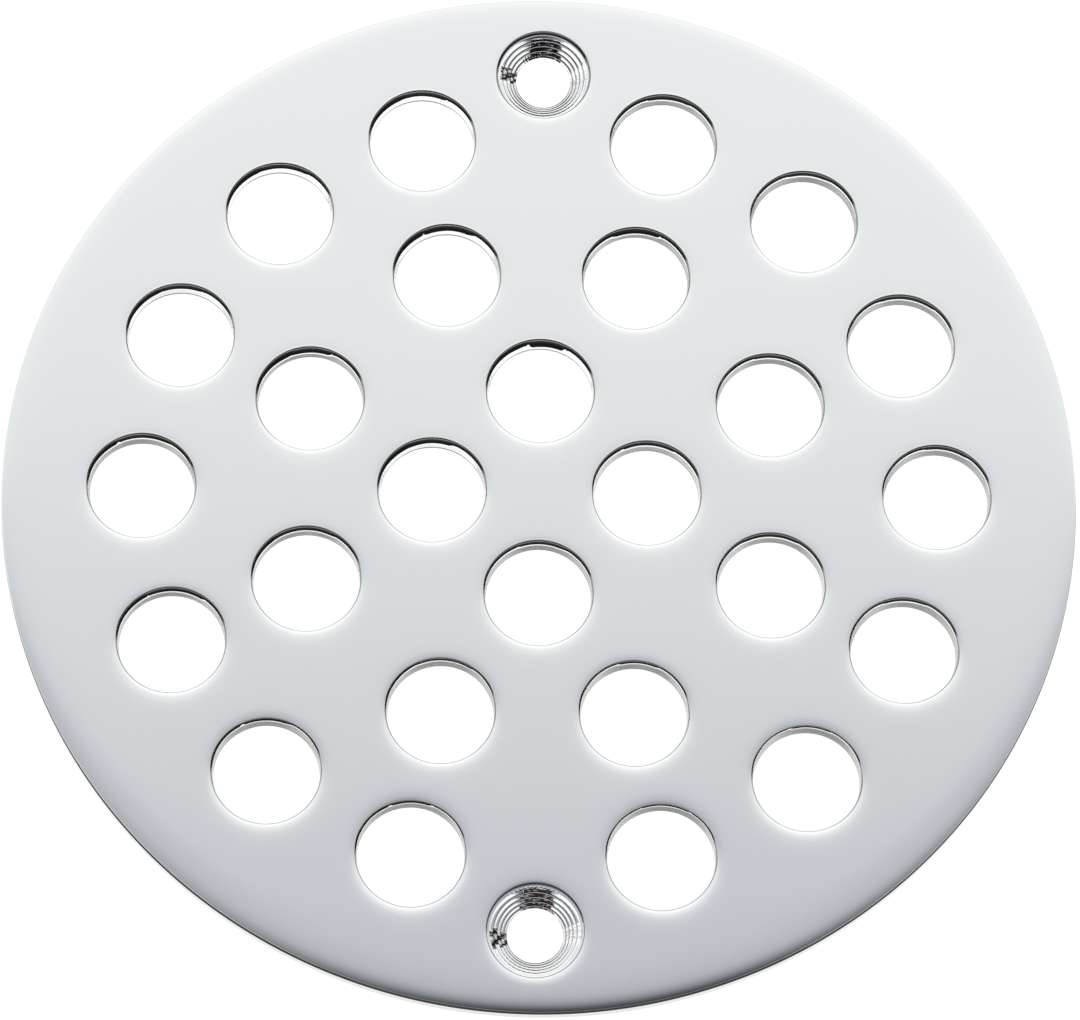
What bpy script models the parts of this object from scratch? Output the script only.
"""Round screw-down shower and floor drain grate, 4 inch size.

One plate: a disc blanked from 2 mm sheet, punched with 26 drain holes in three
rings and drilled with two countersunk holes for its fixing screws, then polished
and plated. Metres, +Z up. The frame's origin is the centre of the underside, which
is the face that rests on the drain body, and the two screw holes lie on the Y axis.
"""

import math

import bmesh
import bpy

# ---------------------------------------------------------------- dimensions
MM = 0.001
INCH = 25.4 * MM

PLATE_DIAMETER = 4 * INCH
PLATE_THICKNESS = 2.0 * MM
RIM_TOP_ROUND = 0.30 * MM        # rolled and buffed upper corner of the rim
RIM_UNDER_BREAK = 0.12 * MM      # broken lower corner

DRAIN_HOLE_DIAMETER = 9.9 * MM   # the bore that the punch leaves
DRAIN_MOUTH_DIAMETER = 10.5 * MM     # on the polished face, where the edge is drawn in
DRAIN_MOUTH_DEPTH = 0.30 * MM
DRAIN_MOUTH_KNEE = 0.30          # at this share of the depth, this share of the flare is left

INNER_RING_RADIUS = 10.15 * MM
INNER_RING_HOLES = 4
MIDDLE_RING_RADIUS = 23.65 * MM
MIDDLE_RING_HOLES = 8
OUTER_RING_RADIUS = 37.6 * MM
OUTER_RING_SIDE_HOLES = 7        # on each side of the Y axis
OUTER_RING_STEP = 24.0           # degrees between neighbours on each side

SCREW_SPACING = 85.9 * MM        # 3 3/8 inch class, centre to centre
SCREW_THROAT_DIAMETER = 5.25 * MM    # where the countersink meets the underside
# A 90 degree cone widens by its depth on every side, here the whole thickness.
COUNTERSINK_DIAMETER = SCREW_THROAT_DIAMETER + 2 * PLATE_THICKNESS

RIM_SEGMENTS = 144
RIM_CORNER_SEGMENTS = 2
DRAIN_SEGMENTS = 32
SCREW_SEGMENTS = 40
CUTTER_REACH = 1.0 * MM          # how far a cutter runs past each face
MERGE_DISTANCE = 0.001 * MM      # joins the seam and the axis points of a turned solid
SHARP_ABOVE = 25.0               # degrees: an edge that turns more is a crisp corner


# ------------------------------------------------------------------- helpers
def new_collection(name):
    made = bpy.data.collections.new(name)
    bpy.context.scene.collection.children.link(made)
    return made


def polar(radius, degrees):
    angle = math.radians(degrees)
    return radius * math.cos(angle), radius * math.sin(angle)


def smooth_by_angle(obj, degrees):
    """Shade smooth, with a crisp edge wherever the finished surface turns by more than this."""
    group = bpy.data.node_groups.new("Smooth by angle", "GeometryNodeTree")
    for direction in ("INPUT", "OUTPUT"):
        group.interface.new_socket(
            name="Geometry", in_out=direction, socket_type="NodeSocketGeometry"
        )
    group_input = group.nodes.new("NodeGroupInput")
    group_output = group.nodes.new("NodeGroupOutput")
    smooth_faces = group.nodes.new("GeometryNodeSetShadeSmooth")
    smooth_faces.domain = "FACE"
    smooth_edges = group.nodes.new("GeometryNodeSetShadeSmooth")
    smooth_edges.domain = "EDGE"
    edge_angle = group.nodes.new("GeometryNodeInputMeshEdgeAngle")
    is_gentle = group.nodes.new("FunctionNodeCompare")
    is_gentle.data_type = "FLOAT"
    is_gentle.operation = "LESS_EQUAL"
    is_gentle.inputs["B"].default_value = math.radians(degrees)

    link = group.links.new
    link(group_input.outputs["Geometry"], smooth_faces.inputs["Geometry"])
    link(smooth_faces.outputs["Geometry"], smooth_edges.inputs["Geometry"])
    link(edge_angle.outputs["Unsigned Angle"], is_gentle.inputs["A"])
    link(is_gentle.outputs["Result"], smooth_edges.inputs["Shade Smooth"])
    link(smooth_edges.outputs["Geometry"], group_output.inputs["Geometry"])

    obj.data.shade_smooth()
    shading = obj.modifiers.new("Smooth by angle", "NODES")
    shading.node_group = group


# ------------------------------------------------------------------ material
def plated_metal(name, colour, roughness):
    made = bpy.data.materials.new(name)
    made.use_nodes = True
    shader = made.node_tree.nodes["Principled BSDF"]
    shader.inputs["Base Color"].default_value = (*colour, 1.0)
    shader.inputs["Metallic"].default_value = 1.0
    shader.inputs["Roughness"].default_value = roughness
    return made


# --------------------------------------------------------------------- plate
def round_blank(home):
    """The disc, standing on Z = 0, with its two rim corners eased."""
    bpy.ops.mesh.primitive_cylinder_add(
        vertices=RIM_SEGMENTS,
        radius=PLATE_DIAMETER / 2,
        depth=PLATE_THICKNESS,
        end_fill_type="NGON",
        location=(0.0, 0.0, PLATE_THICKNESS / 2),
    )
    plate = bpy.context.active_object
    plate.name = "grate_plate"
    plate.data.name = "grate_plate"
    for holder in list(plate.users_collection):
        holder.objects.unlink(plate)
    home.objects.link(plate)

    weigh_rim_corners(plate.data)
    rim = plate.modifiers.new("Rim corners", "BEVEL")
    rim.limit_method = "WEIGHT"
    rim.width = RIM_TOP_ROUND
    rim.segments = RIM_CORNER_SEGMENTS
    rim.use_clamp_overlap = False
    return plate


def weigh_rim_corners(mesh):
    """Bevel weights that make the upper corner rounder. Mesh heights run from mid-thickness."""
    blank = bmesh.new()
    blank.from_mesh(mesh)
    weight = blank.edges.layers.float.new("bevel_weight_edge")
    for edge in blank.edges:
        heights = [vertex.co.z for vertex in edge.verts]
        if min(heights) > 0.0:
            edge[weight] = 1.0
        elif max(heights) < 0.0:
            edge[weight] = RIM_UNDER_BREAK / RIM_TOP_ROUND
    blank.to_mesh(mesh)
    blank.free()


def cut_holes(plate, cutters):
    holes = plate.modifiers.new("Punched and countersunk holes", "BOOLEAN")
    holes.operation = "DIFFERENCE"
    holes.operand_type = "COLLECTION"
    holes.collection = cutters
    holes.solver = "EXACT"


# ------------------------------------------------------------------- cutters
def turned_cutter(name, wall, segments, home):
    """A hidden solid turned about Z.

    The wall is the hole's side as (radius, z) points from the top face down. It is
    carried straight on past both faces and closed to the axis.
    """
    above = PLATE_THICKNESS + CUTTER_REACH
    below = -CUTTER_REACH
    profile = [
        (0.0, above),
        (wall[0][0], above),
        *wall,
        (wall[-1][0], below),
        (0.0, below),
    ]

    mesh = bpy.data.meshes.new(name)
    outline = bmesh.new()
    points = [outline.verts.new((radius, 0.0, z)) for radius, z in profile]
    for upper, lower in zip(points, points[1:]):
        outline.edges.new((upper, lower))
    outline.to_mesh(mesh)
    outline.free()

    cutter = bpy.data.objects.new(name, mesh)
    cutter.hide_render = True
    cutter.display_type = "WIRE"
    home.objects.link(cutter)

    turn = cutter.modifiers.new("Turn", "SCREW")
    turn.axis = "Z"
    turn.angle = math.radians(360.0)
    turn.steps = segments
    turn.render_steps = segments
    turn.use_merge_vertices = True
    turn.merge_threshold = MERGE_DISTANCE
    return cutter


def drain_hole_centres():
    """Four, eight and fourteen holes. The outer ring leaves a wider gap at each screw."""
    inner_step = 360.0 / INNER_RING_HOLES
    centres = [polar(INNER_RING_RADIUS, inner_step * k) for k in range(INNER_RING_HOLES)]

    middle_step = 360.0 / MIDDLE_RING_HOLES
    centres += [
        polar(MIDDLE_RING_RADIUS, middle_step / 2 + middle_step * k)
        for k in range(MIDDLE_RING_HOLES)
    ]

    reach = OUTER_RING_SIDE_HOLES // 2
    for side in (0.0, 180.0):
        centres += [
            polar(OUTER_RING_RADIUS, side + OUTER_RING_STEP * k)
            for k in range(-reach, reach + 1)
        ]
    return centres


def add_drain_punches(home):
    """One punch for each drain hole, all sharing one turned shape."""
    bore = DRAIN_HOLE_DIAMETER / 2
    mouth = DRAIN_MOUTH_DIAMETER / 2
    top = PLATE_THICKNESS
    wall = [
        (mouth, top),
        (bore + (mouth - bore) * DRAIN_MOUTH_KNEE, top - DRAIN_MOUTH_DEPTH * DRAIN_MOUTH_KNEE),
        (bore, top - DRAIN_MOUTH_DEPTH),
    ]
    first_centre, *other_centres = drain_hole_centres()
    first_punch = turned_cutter("drain_punch_01", wall, DRAIN_SEGMENTS, home)
    first_punch.location = (*first_centre, 0.0)
    for number, centre in enumerate(other_centres, start=2):
        punch = first_punch.copy()
        punch.name = f"drain_punch_{number:02d}"
        punch.location = (*centre, 0.0)
        home.objects.link(punch)


def add_countersinks(home):
    """The two screw holes: 90 degree cones through the whole plate, north being +Y."""
    wall = [
        (COUNTERSINK_DIAMETER / 2, PLATE_THICKNESS),
        (SCREW_THROAT_DIAMETER / 2, 0.0),
    ]
    for name, side in (("countersink_north", 1.0), ("countersink_south", -1.0)):
        countersink = turned_cutter(name, wall, SCREW_SEGMENTS, home)
        countersink.location = (0.0, side * SCREW_SPACING / 2, 0.0)


# --------------------------------------------------------------------- build
def build():
    for leftover in list(bpy.data.objects):
        bpy.data.objects.remove(leftover, do_unlink=True)

    grate = new_collection("floor_drain_grate")
    cutters = new_collection("hole_cutters")

    plate = round_blank(grate)
    add_drain_punches(cutters)
    add_countersinks(cutters)
    cut_holes(plate, cutters)

    chrome = plated_metal("polished_chrome", colour=(0.80, 0.81, 0.82), roughness=0.06)
    plate.data.materials.append(chrome)
    smooth_by_angle(plate, SHARP_ABOVE)


build()
